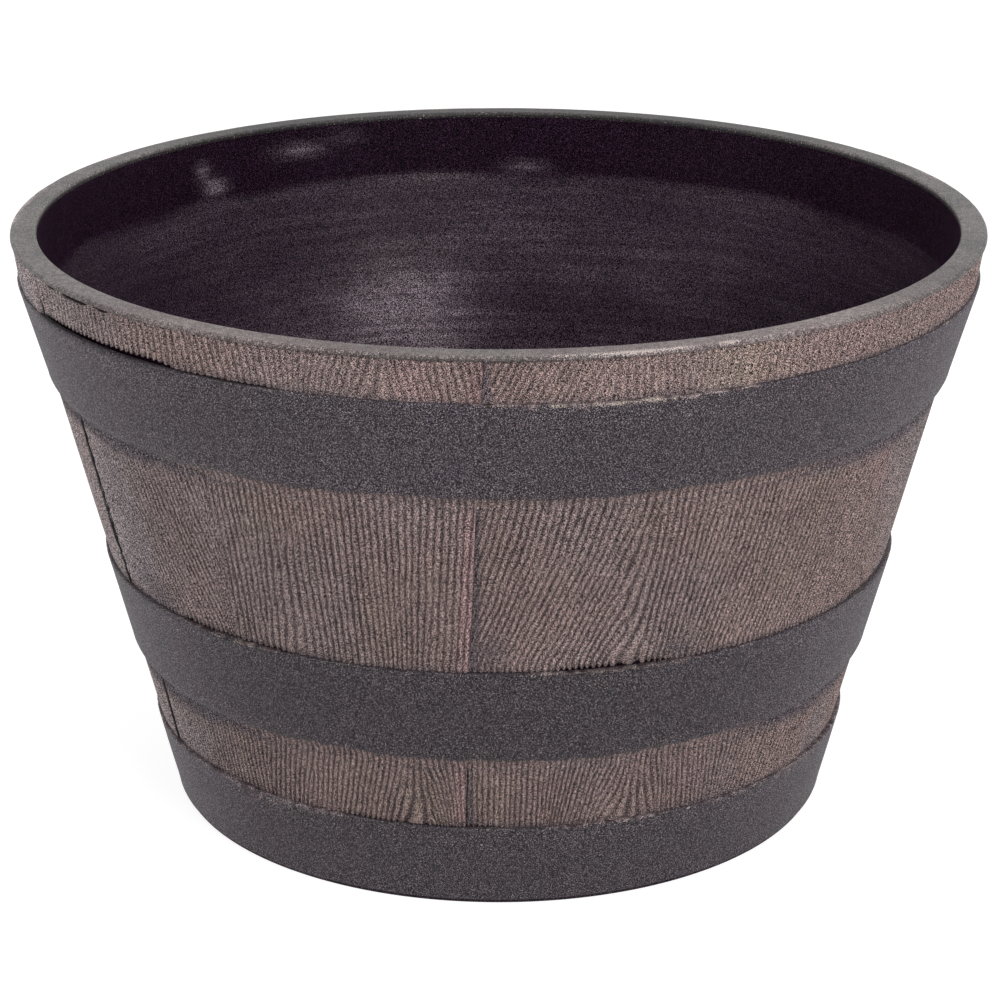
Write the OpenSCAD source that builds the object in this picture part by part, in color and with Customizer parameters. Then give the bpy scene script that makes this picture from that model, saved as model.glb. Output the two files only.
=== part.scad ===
// Half-barrel planter: a one-piece moulded tub whose wall carries stave relief,
// three hoops seated on the tapered wall, and push-in drain plugs in the floor.
// Millimetres, +Z up, origin on the ground under the middle of the tub.
// The front of the barrel faces -Y.

/* [Tub] */
// Outside diameter over the rim lip
rim_d = 520; // [480:1:560]
// Height from the ground to the top of the rim
tub_h = 320; // [305:1:360]
// Diameter that the staves' cone has at the ground
foot_d = 357; // [330:1:385]
// Width of the rim's top, from its inner edge to its outer edge
rim_w = 14; // [11:0.5:20]
// Radius of the rim's rounded edges
rim_round = 2; // [0.5:0.1:2.4]
// Height of the rim lip's outer edge
lip_h = 2.5; // [2.5:0.5:6]
// How far the rim lip stands out past the staves
lip_over = 0.8; // [0.5:0.1:2]
// Depth of the steep collar inside the rim
collar_h = 37; // [20:1:60]
// Thickness of the wall, from the staves' faces to the inside
wall_t = 6; // [5:0.1:9]

/* [Floor] */
// Height of the floor's underside above the ground
floor_z = 11; // [9:0.5:20]
// Thickness of the floor
floor_t = 6; // [5:0.5:10]
// Radius between the floor and the wall inside
floor_fillet = 12; // [4:1:25]
// Width of the flat foot ring that the tub stands on
foot_ring_w = 8; // [5:0.5:14]
// Height of the ledge that the base hoop rests on
foot_lip_h = 2; // [1.5:0.1:4]
// How far the foot's edge stands out past the flat under the base hoop
foot_reveal = 0.6; // [0:0.1:1]
// Chamfer on the foot's lower edge
foot_edge = 1; // [0.5:0.1:1.4]
// Number of ribs under the floor
rib_count = 8; // [8:8:24]
// Thickness of each rib
rib_t = 3; // [2:0.5:5]
// Depth of the ribs below the floor
rib_h = 5; // [3:0.5:8]
// Radius of the ring that joins the ribs
rib_ring_r = 45; // [30:1:60]

/* [Staves] */
// Relative widths of the staves, counter-clockwise from the right-hand joint in front
stave_shares = [29, 32, 30, 31, 30, 32, 29, 29, 29, 28, 27, 34];
// Angle of the front joint left of the front, half way up the wall
front_joint_deg = 3.6; // [0:0.1:15]
// How far each joint leans to the right per 100 mm of height, in degrees
joint_lean_deg = 1.3; // [0:0.1:2]
// Width of the groove at a stave joint
joint_w = 0.8; // [0.4:0.1:2]
// Depth of the groove at a stave joint under the rim lip
joint_depth = 1.6; // [1:0.1:2]
// Step in height from one stave's face to the next
stave_step = 1.2; // [0:0.1:1.4]
// How far the rim band's lower edge stands out from the staves' cone
rim_flare = 2.2; // [0:0.1:3]

/* [Hoops] */
// Thickness of a hoop
hoop_t = 3.5; // [3:0.1:4.5]
// Radial clearance between a hoop and its seat
hoop_clear = 0.1; // [0.05:0.01:0.3]
// Open crevice above each hoop
crevice = 0.8; // [0.4:0.1:2]
// Radius of each hoop's upper edge
hoop_round = 0.9; // [0.3:0.1:1.2]
// Height of the chamfer along each hoop's lower edge
hoop_chamfer_h = 10; // [6:0.5:14]
// How far a hoop's lower edge still stands proud of the staves
hoop_edge_proud = 0.5; // [0.2:0.1:1]

/* [Upper hoop] */
// Distance from the top of the rim down to the upper hoop
upper_drop = 24; // [18:1:40]
// Width of the upper hoop
upper_w = 58; // [40:1:66]
// How far its upper edge stands proud of the staves' cone
upper_proud_top = 4.1; // [3.6:0.1:4.6]
// How far its lower part stands proud of the staves' cone
upper_proud_low = 2.2; // [1.8:0.1:3]

/* [Middle hoop] */
// Height of the middle hoop's lower edge
middle_z = 85; // [75:1:105]
// Width of the middle hoop
middle_w = 58.5; // [40:0.5:66]
// How far its upper edge stands proud of the staves' cone
middle_proud_top = 2.5; // [2:0.1:3]
// How far its lower part stands proud of the staves' cone
middle_proud_low = 2.2; // [1.8:0.1:3]

/* [Base hoop] */
// Height of the base hoop's upper edge
base_top = 48; // [36:1:60]
// How far its upper edge stands proud of the staves' cone
base_proud_top = 2.3; // [2:0.1:3]
// How far its lower edge stands proud of the staves' cone
base_proud_low = 2.5; // [1.8:0.1:3]
// Radius of the base hoop's lower edge
base_round = 2; // [1:0.1:2.2]

/* [Drain plugs] */
// Radius of the circle that the drain holes lie on
drain_pcd_r = 105; // [80:1:130]
// Diameter of a drain hole
drain_d = 16; // [12:0.5:22]
// Radial clearance of a plug's stem in its hole
plug_clear = 0.05; // [0.02:0.01:0.1]
// Width of the flange that stands out round the stem
plug_flange_w = 5; // [3:0.5:8]
// Thickness of the flange
plug_flange_t = 3; // [2:0.5:5]
// Depth of the seat that the flange sits in
plug_seat_depth = 2; // [1:0.5:3]
// Gap round the flange in its seat
plug_seat_gap = 0.5; // [0.3:0.1:1]
// Wall of the boss under the floor round each drain hole
drain_boss_w = 7; // [5:0.5:10]
// Length of the chamfer at a plug's tip
plug_tip = 1.5; // [0.5:0.5:3]
// Height of the finger grip on a plug
grip_h = 6; // [4:0.5:10]
// Thickness of the finger grip
grip_t = 3; // [2:0.5:5]

/* [Hidden] */
$fn = 180;

wood_colour = [0.40, 0.35, 0.32];
hoop_colour = [0.26, 0.25, 0.26];
plug_colour = [0.12, 0.12, 0.12];

rim_r = rim_d / 2;
rim_in_r = rim_r - rim_w;
lip_z = tub_h - lip_h;
collar_z = tub_h - collar_h;
floor_top = floor_z + floor_t;
upper_top = tub_h - upper_drop;
upper_z = upper_top - upper_w;
middle_top = middle_z + middle_w;
base_z = foot_lip_h;
lean_z = tub_h / 2;
overlap = 0.5;
arc_steps = 6;

// The staves lie on one cone from the foot to the rim lip
cone_slope = (rim_r - lip_over - foot_d / 2) / lip_z;
function cone_r(z) = foot_d / 2 + cone_slope * z;
function inner_r(z) = cone_r(z) - wall_t;

// Points on an arc about [x, y], both ends included
function arc(x, y, r, from, to) =
    [for (i = [0:arc_steps]) let (a = from + (to - from) * i / arc_steps)
        [x + r * cos(a), y + r * sin(a)]];

// A hoop is [lower z, upper z, proud at its lower part, proud at its upper edge]
upper = [upper_z, upper_top, upper_proud_low, upper_proud_top];
middle = [middle_z, middle_top, middle_proud_low, middle_proud_top];
base = [base_z, base_top, base_proud_low, base_proud_top];
function hoop_r(hoop, z) =
    cone_r(z) + hoop[2] + (hoop[3] - hoop[2]) * (z - hoop[0]) / (hoop[1] - hoop[0]);
function hoop_in_r(hoop, z) = hoop_r(hoop, z) - hoop_t;
function seat_r(hoop, z) = hoop_in_r(hoop, z) - hoop_clear;
// The seat's cone starts a little below the hoop where staves stand under it
function seat(hoop, below) =
    [for (z = [hoop[0] - below, hoop[1]]) [seat_r(hoop, z), z]];

// A band of staves is [lower z, upper z, face radius at each of them, share of the stave relief]
rim_band = [upper_top + crevice, lip_z + overlap, cone_r(upper_top + crevice) + rim_flare,
            cone_r(lip_z + overlap), 0.4];
mid_band = [middle_top + crevice, upper_z, cone_r(middle_top + crevice), cone_r(upper_z), 1];
low_band = [base_top + crevice, middle_z, cone_r(base_top + crevice), cone_r(middle_z), 1];

// Where each stave starts, as a share of the whole turn
stave_total = sum_to(stave_shares, len(stave_shares));
function sum_to(list, n) = n == 0 ? 0 : list[n - 1] + sum_to(list, n - 1);
function stave_start(i) = -90 - front_joint_deg + 360 * sum_to(stave_shares, i) / stave_total;

// The foot ring's outer edge carries the base hoop
foot_lip_r = hoop_r(base, base_z) - base_round + foot_reveal;
foot_in_r = foot_lip_r - foot_ring_w;

// The fillet between the floor and the wall touches both
fillet_z = floor_top + floor_fillet;
fillet_r = inner_r(fillet_z) - floor_fillet * sqrt(1 + cone_slope * cone_slope);

module tub_profile() {
    polygon(concat(
        [[0, floor_z], [foot_in_r, floor_z], [foot_in_r, 0], [foot_lip_r - foot_edge, 0],
         [foot_lip_r, foot_edge], [foot_lip_r, base_z]],
        seat(base, 0), seat(middle, overlap), seat(upper, overlap),
        [[cone_r(lip_z) - joint_depth, lip_z], [rim_r, lip_z]],
        arc(rim_r - rim_round, tub_h - rim_round, rim_round, 0, 90),
        arc(rim_in_r + rim_round, tub_h - rim_round, rim_round, 90, 180),
        [[inner_r(collar_z), collar_z]],
        arc(fillet_r, fillet_z, floor_fillet, -atan(cone_slope), -90),
        [[0, floor_top]]));
}

// One stave of one band: a slice of a cone, rooted in the wall, high and low by turns
module stave(band, i) {
    lean = joint_lean_deg * ((band[0] + band[1]) / 2 - lean_z) / 100;
    gap = joint_w / band[2] * 180 / PI;
    lift = stave_step / 2 * band[4] * (i % 2 == 0 ? -1 : 1);
    root = wall_t / 2;
    rotate([0, 0, stave_start(i) + lean + gap / 2])
        rotate_extrude(angle = stave_start(i + 1) - stave_start(i) - gap)
            polygon([[band[2] - root, band[0]], [band[2] + lift, band[0]],
                     [band[3] + lift, band[1]], [band[3] - root, band[1]]]);
}

module at_drain(i) {
    rotate([0, 0, 45 + 90 * i])
        translate([drain_pcd_r, 0, 0])
            children();
}

module at_drains() {
    for (i = [0:3])
        at_drain(i)
            children();
}

// Ribs that pass between the drain holes, and the ring that joins them
module underside_ribs() {
    rib_z = floor_z - rib_h;
    for (i = [0:rib_count - 1])
        rotate([0, 0, 360 * (i + 0.5) / rib_count])
            translate([rib_ring_r, -rib_t / 2, rib_z])
                cube([foot_in_r - rib_ring_r + overlap, rib_t, rib_h + overlap]);
    translate([0, 0, rib_z])
        difference() {
            cylinder(r = rib_ring_r + rib_t / 2, h = rib_h + overlap);
            translate([0, 0, -overlap])
                cylinder(r = rib_ring_r - rib_t / 2, h = rib_h);
        }
}

module tub() {
    color(wood_colour)
        difference() {
            union() {
                rotate_extrude() tub_profile();
                for (band = [rim_band, mid_band, low_band])
                    for (i = [0:len(stave_shares) - 1])
                        stave(band, i);
                underside_ribs();
                at_drains()
                    translate([0, 0, floor_z - rib_h])
                        cylinder(r = drain_d / 2 + drain_boss_w, h = rib_h + overlap);
            }
            at_drains() {
                cylinder(r = drain_d / 2, h = floor_top + 1);
                translate([0, 0, floor_top - plug_seat_depth])
                    cylinder(r = drain_d / 2 + plug_flange_w + plug_seat_gap, h = plug_seat_depth + 1);
            }
        }
}

// A hoop with a rounded upper edge and a long chamfer along its lower edge
module snap_hoop(hoop) {
    color(hoop_colour)
        rotate_extrude()
            polygon(concat(
                [[hoop_in_r(hoop, hoop[0]), hoop[0]], [cone_r(hoop[0]) + hoop_edge_proud, hoop[0]],
                 [hoop_r(hoop, hoop[0] + hoop_chamfer_h), hoop[0] + hoop_chamfer_h]],
                arc(hoop_r(hoop, hoop[1] - hoop_round) - hoop_round, hoop[1] - hoop_round, hoop_round, 0, 90),
                [[hoop_in_r(hoop, hoop[1]), hoop[1]]]));
}

module upper_hoop() {
    snap_hoop(upper);
}

module middle_hoop() {
    snap_hoop(middle);
}

module base_hoop() {
    color(hoop_colour)
        rotate_extrude()
            polygon(concat(
                [[hoop_in_r(base, base_z), base_z]],
                arc(hoop_r(base, base_z + base_round) - base_round, base_z + base_round, base_round, -90, 0),
                arc(hoop_r(base, base_top - hoop_round) - hoop_round, base_top - hoop_round, hoop_round, 0, 90),
                [[hoop_in_r(base, base_top), base_top]]));
}

// A soft plug: flange in its seat, stem through the floor, grip on top
module drain_plug(i) {
    seat_z = floor_top - plug_seat_depth;
    stem_r = drain_d / 2 - plug_clear;
    flange_r = drain_d / 2 + plug_flange_w;
    stem_z = floor_z - rib_h;
    grip_w = 1.5 * drain_d;
    top_z = seat_z + plug_flange_t;
    edge = plug_flange_t / 3;
    color(plug_colour)
        at_drain(i) {
            rotate_extrude()
                polygon([[0, stem_z], [stem_r - plug_tip, stem_z], [stem_r, stem_z + plug_tip],
                         [stem_r, seat_z], [flange_r, seat_z], [flange_r, top_z - edge],
                         [flange_r - edge, top_z], [0, top_z]]);
            translate([0, grip_t / 2, top_z - overlap])
                rotate([90, 0, 0])
                    linear_extrude(grip_t)
                        polygon([[-grip_w / 2, 0], [grip_w / 2, 0], [grip_w / 2, overlap + grip_h / 2],
                                 [grip_w / 2 - grip_h / 2, overlap + grip_h],
                                 [grip_h / 2 - grip_w / 2, overlap + grip_h],
                                 [-grip_w / 2, overlap + grip_h / 2]]);
        }
}

tub();
upper_hoop();
middle_hoop();
base_hoop();
drain_plug(0);  // drain_plug_1
drain_plug(1);  // drain_plug_2
drain_plug(2);  // drain_plug_3
drain_plug(3);  // drain_plug_4
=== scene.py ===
"""Looks of the wood-effect barrel planter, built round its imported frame."""
from collections import namedtuple
import math

import bpy
import numpy as np
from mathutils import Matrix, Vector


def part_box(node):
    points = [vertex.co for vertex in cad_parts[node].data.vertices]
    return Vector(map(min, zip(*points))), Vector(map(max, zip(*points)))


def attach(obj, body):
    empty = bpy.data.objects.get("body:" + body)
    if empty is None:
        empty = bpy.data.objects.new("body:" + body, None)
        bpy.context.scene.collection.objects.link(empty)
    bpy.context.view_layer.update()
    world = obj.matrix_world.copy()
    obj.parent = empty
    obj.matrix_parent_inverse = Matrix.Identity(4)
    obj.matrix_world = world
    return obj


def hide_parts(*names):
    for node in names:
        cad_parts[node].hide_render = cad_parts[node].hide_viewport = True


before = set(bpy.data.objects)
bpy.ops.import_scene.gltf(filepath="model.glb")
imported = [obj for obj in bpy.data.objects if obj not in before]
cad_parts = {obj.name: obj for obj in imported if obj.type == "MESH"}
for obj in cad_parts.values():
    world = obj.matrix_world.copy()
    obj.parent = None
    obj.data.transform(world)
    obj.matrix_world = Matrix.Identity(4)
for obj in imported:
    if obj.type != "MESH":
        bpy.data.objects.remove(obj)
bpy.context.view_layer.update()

# Sizes are in millimetres until a mesh is placed, and angles are degrees to the right of the front
MM = 0.001
MERGE_DISTANCE = 0.00001
tub_low, tub_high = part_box("tub")
RIM_R = min(-tub_low.x, -tub_low.y, tub_high.x, tub_high.y) / MM
HEIGHT = tub_high.z / MM


def hoop_levels(node):
    """The lower and upper edge of a CAD hoop."""
    low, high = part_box(node)
    return low.z / MM, high.z / MM


HOOP_NODES = ("upper_hoop", "middle_hoop", "base_hoop")
HOOP_LEVELS = [hoop_levels(node) for node in HOOP_NODES]
UPPER, MIDDLE, BASE = HOOP_LEVELS

# The tub's wall
RIM_W = 14
RIM_ROUND = 2
LIP_H = 2.5
LIP_Z = HEIGHT - LIP_H
LIP_OVER = 0.8
FOOT_CONE_R = 178.5
WALL = 6
WALL_WAVE = 0.06
COLLAR_Z = HEIGHT - 37
FLOOR_Z = 11
FLOOR_TOP = 17
FILLET = 12
FOOT_IN_R = 172.1
FOOT_OUT_R = 180.1
CONE_SLOPE = (RIM_R - LIP_OVER - FOOT_CONE_R) / LIP_Z
TAPER = math.degrees(math.atan(CONE_SLOPE))

# Under the floor, and the drain plugs
RIBS = 8
RIB_T = 3
RIB_DROP = 5
RING_R = 45
BOSS_R = 15
DRAIN_R = 8
STEM_R = 7.9
FLANGE_R = 13
FLANGE_LOW = 15
FLANGE_TOP = 18
GRIP_LONG = 24
GRIP_T = 3

# The hoops
HOOP_THICK = 3.5
HOOP_ROUND = 0.9
HOOP_CHAMFER = 10

# Steps round the tub in the turned pieces
SHELL_STEPS = 360
RIM_STEPS = 720
HOOP_STEPS = 2400

# Staves, numbered to the right from the joint in front: those seen are 9, 10, 11, 0 and 1
STAVE_WIDTHS = (29, 32, 30, 31, 30, 32, 29, 29, 29, 28, 27, 34)
STAVES = len(STAVE_WIDTHS)
FRONT_RIGHT = 0
FRONT_LEFT = 11
OPEN_JOINT = 10
FRONT_JOINT = -3.6
JOINT_LEAN = 0.013
JOINT_GAP = 0.05
OPEN_GAP = 0.8
STAVE_STEP = 0.6
RIM_FLARE = 2.2
CREVICE = 0.05
CORE_DEPTH = 2.4
EDGE_ROUND = 0.3
GRAIN_PITCH = 3.4
GRAIN_DEPTH = 0.75
MM_PER_DEG = 4.0
RELIEF_STEP = 0.37
STARTS = [FRONT_JOINT + sum(STAVE_WIDTHS[:i]) for i in range(STAVES + 1)]

# The bands of staves over each hoop: edges, flare at the lower edge, share of the stave step, rows of faces
Band = namedtuple("Band", "low high flare step_share rows")
BANDS = (
    Band(UPPER[1] + CREVICE, LIP_Z + 0.3, RIM_FLARE, 0.4, 16),
    Band(MIDDLE[1] + CREVICE, UPPER[0], 0.0, 1.0, 70),
    Band(BASE[1] + CREVICE, MIDDLE[0], 0.0, 1.0, 27),
)


def cone_r(z):
    """Radius of the cone that the staves lie on."""
    return FOOT_CONE_R + CONE_SLOPE * z


def inner_r(z):
    return cone_r(z) - WALL


def smooth(x):
    """0 up to x = 0, 1 from x = 1, eased between."""
    x = np.clip(x, 0, 1)
    return x * x * (3 - 2 * x)


def between(deg, start, end, blur):
    """1 from start to end and 0 outside, eased over blur degrees at both."""
    return smooth((deg - start) / blur + 0.5) * smooth((end - deg) / blur + 0.5)


def bell(x, middle, width, power=2):
    """A bump of height 1 about a middle."""
    return np.exp(-((x - middle) / width) ** power)


def signed_deg(deg):
    """The same direction from -180 to 180 degrees."""
    return np.mod(deg + 180, 360) - 180


def turned_to(deg, near):
    """The same direction within half a turn of another one."""
    return deg + 360 * np.round((near - deg) / 360)


def spot(deg, z, place, level, wide, tall):
    """A soft round mark, 1 in its middle."""
    return bell(signed_deg(deg - place), 0, wide) * bell(z, level, tall)


def noise(deg, z, cells, reach, seed):
    """Smooth seeded noise from -1 to 1 that closes round the tub, with cells round it and reach mm up it."""
    levels = 61
    lattice = np.random.default_rng(seed).uniform(-1, 1, (cells, levels))
    across, up = np.mod(deg, 360) / 360 * cells, z / reach
    i, j = np.floor(across).astype(int), np.floor(up).astype(int)
    a, b = smooth(across - i), smooth(up - j)
    near, far = i % cells, (i + 1) % cells
    low, high = j % levels, (j + 1) % levels
    below = lattice[near, low] * (1 - a) + lattice[far, low] * a
    above = lattice[near, high] * (1 - a) + lattice[far, high] * a
    return below * (1 - b) + above * b


def ring_noise(deg, cells, seed):
    """Noise that changes round the tub and not up it."""
    return noise(deg, 0 * deg, cells, 1, seed)


def joint_deg(joint, z):
    """Where a joint between two staves stands at height z."""
    which = joint % STAVES
    lean = 0.004 * math.sin(7.0 * which)
    wander = 0.35 * np.sin(z / 26 + 2.3 * which)
    if which == 0:
        lean, wander = JOINT_LEAN, 0.0
    if which == OPEN_JOINT:
        wander = 0.8 * np.cos((z - 265) / 26)
    return STARTS[joint] + lean * (z - HEIGHT / 2) + wander


def joint_gap(joint):
    """Width of the gap at a joint: one seen at the left is open, and so are a few behind."""
    return {OPEN_JOINT: OPEN_GAP, 11: 0.25, 5: 0.8, 7: 0.5}.get(joint % STAVES, JOINT_GAP)


def joint_round(joint):
    """How far the edges of the staves are rounded off at a joint."""
    return {0: 0.2, OPEN_JOINT: 0.5, 5: 0.6, 7: 0.6}.get(joint % STAVES, EDGE_ROUND)


def stave_middle(stave):
    return (STARTS[stave] + STARTS[stave + 1]) / 2


def knots_of(stave):
    """Places (across, z, sign) where a line of the grain ends: a column of them makes a pointed arch."""
    rng = np.random.default_rng(100 + stave)
    middle = stave_middle(stave)
    # Columns seen in front: degrees, lower and upper level, number of knots and their sign
    seen = {
        0: ((15.4, 136, 182, 4, 1), (13.0, 40, 82, 2, -1)),
        11: ((-10.5, 40, 94, 6, 1), (-31.0, 160, 205, 2, -1)),
        10: ((-66.0, 118, 214, 5, 1), (-44.0, 40, 90, 2, 1)),
        1: ((47.0, 150, 240, 4, -1), (36.0, 50, 84, 2, -1)),
    }
    columns = list(seen.get(stave, ()))
    if not columns:
        for level in rng.uniform(50, 290, 2):
            place = middle + rng.uniform(-11, 11)
            count = int(rng.integers(3, 7))
            columns.append((place, level - 5 * count, level + 5 * count, count, int(rng.choice((-1, 1)))))
    knots = []
    for place, low, high, count, sign in columns:
        place = turned_to(place, middle)
        for level in np.linspace(low, high, count):
            drift = rng.uniform(-4, 4)
            knots.append(((place - middle) * MM_PER_DEG + drift, level + rng.uniform(-3, 3), sign))
    width = STAVE_WIDTHS[stave] * MM_PER_DEG
    for _ in range(8):
        knots.append((rng.uniform(-0.5, 0.5) * width, rng.uniform(40, 315), int(rng.choice((-1, 1)))))
    return knots


def leans_of(stave):
    """Slants of the grain: band, from, to and slope, above 0 where lines lean right going up."""
    seen = {
        0: ((0, -9, 12, 0.38), (0, 22, 34, 0.25), (1, -9, 17, 0.37), (1, 17, 34, 0.20), (2, -9, 8, 0.06),
            (2, 8, 18, 0.33), (2, 22, 34, -0.28)),
        11: ((0, -44, -23, -0.13), (0, -21, -13, 0.28), (0, -12, 4, -0.26), (1, -44, -27, 0.10),
             (1, -13, 4, 0.10), (2, -44, -14, 0.20), (2, -12, -8, -0.25), (2, -7, 4, 0.12)),
        10: ((1, -72, -37, -0.33), (2, -72, -30, 0.12)),
        1: ((0, 17, 33, 0.25), (0, 35, 65, 0.10), (1, 17, 65, 0.25), (2, 17, 34, -0.15), (2, 37, 65, 0.12)),
    }
    if stave in seen:
        return seen[stave]
    rng = np.random.default_rng(200 + stave)
    low, high = STARTS[stave] - 8, STARTS[stave + 1] + 8
    return tuple((band, low, high, rng.uniform(-0.14, 0.14)) for band in (0, 1, 2))


def lean_shift(deg, z, stave):
    """How far the slants carry the lines of the grain sideways at each place, in millimetres."""
    shift = np.zeros(len(deg))
    middle = stave_middle(stave)
    deg = turned_to(deg, middle - 360 if stave in (10, 11) else middle)
    for index, start, end, slope in leans_of(stave):
        band = BANDS[index]
        here = (z > band.low - 30) & (z < band.high + 30)
        drop = np.clip(band.high - z, 0, 90)
        # The long lines of the middle band lean more as they go down
        down = drop * (0.5 + drop / 300) if index == 1 else np.minimum(drop, 40)
        shift = shift + here * slope * down * between(deg, start, end, 6)
    return shift


def grain_wave(deg, z, stave):
    """The rise and fall of the grain across one stave, about -1 in a groove and 1 on a ridge."""
    across = (deg - stave_middle(stave)) * MM_PER_DEG
    sway = 3.0 * noise(deg, z, 14, 120, 11) + 0.6 * noise(deg, z, 120, 26, 12)
    sway = sway + 0.32 * noise(deg, z, 300, 7, 13) + 0.25 * noise(deg, z, 800, 3, 16)
    phase = 2 * np.pi * (across + sway + lean_shift(deg, z, stave)) / GRAIN_PITCH
    for place, level, sign in knots_of(stave):
        phase = phase + sign * np.arctan2(z - level, across - place)
    wave = np.cos(phase) + 0.22 + 0.28 * noise(deg, z, 260, 11, 14) + 0.2 * noise(deg, z, 900, 4, 19)
    return wave * (0.85 + 0.15 * noise(deg, z, 70, 30, 15))


def grain(deg, z, stave):
    """Moulded relief of the grain: 0 in a groove, 1 on a ridge."""
    return 0.5 + 0.5 * np.tanh(1.7 * grain_wave(deg, z, stave)) / np.tanh(1.7)


# Where the photograph shows an open dark gap over each hoop: from, to in degrees, and strength
GAP_ZONES = (((-64, -38, 1.8), (-38, -24, 0.5)), ((-50, -30, 0.7), (8, 23, 1.0)), ((-25, 0, 0.4),))
GAP_ALL_ROUND = (0.04, 0.2, 0.08)


def gap_share(deg, index):
    """How open the gap is between a hoop and the lower ends of the staves over it, 0 where it is shut."""
    share = np.full(len(deg), GAP_ALL_ROUND[index])
    for start, end, strength in GAP_ZONES[index]:
        share = np.maximum(share, strength * between(deg, start, end, 5))
    behind = 0.6 * smooth(2.5 * ring_noise(deg, 24, 90 + index) - 0.4) * (np.abs(deg) > 75)
    return np.maximum(share, behind)


def stave_lift(stave, share):
    """How far a stave's face stands out from the cone, at its left and at its right edge."""
    seen = {9: (0.2, 0.5), 10: (-0.4, -0.2), 11: (0.1, 0.6), 0: (-0.6, 0.1), 1: (0.3, 0.5)}
    rng = np.random.default_rng(40 + stave)
    level = STAVE_STEP * rng.choice((-1, 1))
    tilt = rng.uniform(-0.35, 0.35)
    left, right = seen.get(stave, (level - tilt, level + tilt))
    return left * share, right * share


def stave_face_r(deg, z, stave, band):
    """Radius of a stave's face with its grain."""
    left, right = stave_lift(stave, band.step_share)
    along = np.clip((deg - STARTS[stave]) / STAVE_WIDTHS[stave], 0, 1)
    flare = band.flare * np.clip((band.high - z) / (band.high - band.low), 0, 1)
    rough = 0.042 * noise(deg, z, 900, 2.2, 17) + 0.15 * noise(deg, z, 24, 60, 18)
    depth = GRAIN_DEPTH * (1 - grain(deg, z, stave))
    return cone_r(z) + left + (right - left) * along + flare + rough - depth


def read_vertices(mesh):
    co = np.empty(len(mesh.vertices) * 3, np.float64)
    mesh.vertices.foreach_get("co", co)
    return co.reshape(-1, 3)


def write_vertices(mesh, co):
    mesh.vertices.foreach_set("co", np.ascontiguousarray(co, np.float32).ravel())
    mesh.update()


def add_marks(mesh, **marks):
    """Numbers at each vertex that the materials read by name."""
    for name, values in marks.items():
        layer = mesh.attributes.new(name, "FLOAT", "POINT")
        layer.data.foreach_set("value", np.ascontiguousarray(values, np.float32))


def deselect():
    if bpy.context.object and bpy.context.object.mode != "OBJECT":
        bpy.ops.object.mode_set(mode="OBJECT")
    bpy.ops.object.select_all(action="DESELECT")


def activate(*objects):
    deselect()
    for each in objects:
        each.select_set(True)
    bpy.context.view_layer.objects.active = objects[0]


def copy_of(model, name):
    """A copy with its own mesh."""
    obj = model.copy()
    obj.data = model.data.copy()
    obj.name = obj.data.name = name
    bpy.context.scene.collection.objects.link(obj)
    return obj


def select_edges(obj, test):
    """Selects, in edit mode, the edges whose two ends pass the test."""
    bpy.ops.object.mode_set(mode="OBJECT")
    mesh = obj.data
    passed = test(read_vertices(mesh))
    for part in (mesh.vertices, mesh.edges, mesh.polygons):
        part.foreach_set("select", np.zeros(len(part), bool))
    ends = np.empty(len(mesh.edges) * 2, int)
    mesh.edges.foreach_get("vertices", ends)
    mesh.edges.foreach_set("select", passed[ends[::2]] & passed[ends[1::2]])
    bpy.ops.object.mode_set(mode="EDIT")
    bpy.ops.mesh.select_mode(type="EDGE")


def edit_all(obj):
    """Goes into edit mode with the whole mesh selected."""
    activate(obj)
    bpy.ops.object.mode_set(mode="EDIT")
    bpy.ops.mesh.select_all(action="SELECT")


def merge_doubles(obj):
    edit_all(obj)
    bpy.ops.mesh.remove_doubles(threshold=MERGE_DISTANCE)
    bpy.ops.object.mode_set(mode="OBJECT")


def turn_outwards(obj):
    """Makes all faces of a closed mesh point outwards."""
    edit_all(obj)
    bpy.ops.mesh.normals_make_consistent(inside=False)
    bpy.ops.object.mode_set(mode="OBJECT")


def apply_modifier(obj, kind, **settings):
    activate(obj)
    modifier = obj.modifiers.new(kind.title(), kind)
    for key, value in settings.items():
        setattr(modifier, key, value)
    bpy.ops.object.modifier_apply(modifier=modifier.name)


def combine(obj, other, operation):
    """A boolean with another mesh, which it uses up."""
    apply_modifier(obj, "BOOLEAN", operation=operation, object=other, solver="EXACT")
    bpy.data.objects.remove(other)


def spin_profile(name, points, steps, closed=False):
    """A solid of revolution from (radius, z) points in millimetres."""
    deselect()
    bpy.ops.mesh.primitive_plane_add(size=1, enter_editmode=True)
    obj = bpy.context.object
    obj.name = name
    bpy.ops.mesh.delete(type="VERT")
    bpy.ops.object.mode_set(mode="OBJECT")
    mesh = obj.data
    mesh.name = name
    count = len(points)
    mesh.vertices.add(count)
    mesh.edges.add(count if closed else count - 1)
    write_vertices(mesh, [(r * MM, 0, z * MM) for r, z in points])
    ends = [(i, (i + 1) % count) for i in range(len(mesh.edges))]
    mesh.edges.foreach_set("vertices", np.array(ends).ravel())
    mesh.update()
    apply_modifier(obj, "SCREW", angle=2 * math.pi, steps=steps, render_steps=steps)
    merge_doubles(obj)
    turn_outwards(obj)
    return obj


def arc(x, y, r, start, end, steps):
    """Points on an arc about (x, y), both ends included."""
    turns = [math.radians(start + (end - start) * i / steps) for i in range(steps + 1)]
    return [(x + r * math.cos(t), y + r * math.sin(t)) for t in turns]


def plain_cylinder(radius, low, high, place, vertices=64):
    """An upright cylinder to add or to cut with, in millimetres."""
    deselect()
    bpy.ops.mesh.primitive_cylinder_add(
        vertices=vertices, radius=radius * MM, depth=(high - low) * MM,
        location=(place[0] * MM, place[1] * MM, (low + high) / 2 * MM))
    bpy.ops.object.transform_apply(location=True)
    return bpy.context.object


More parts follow.
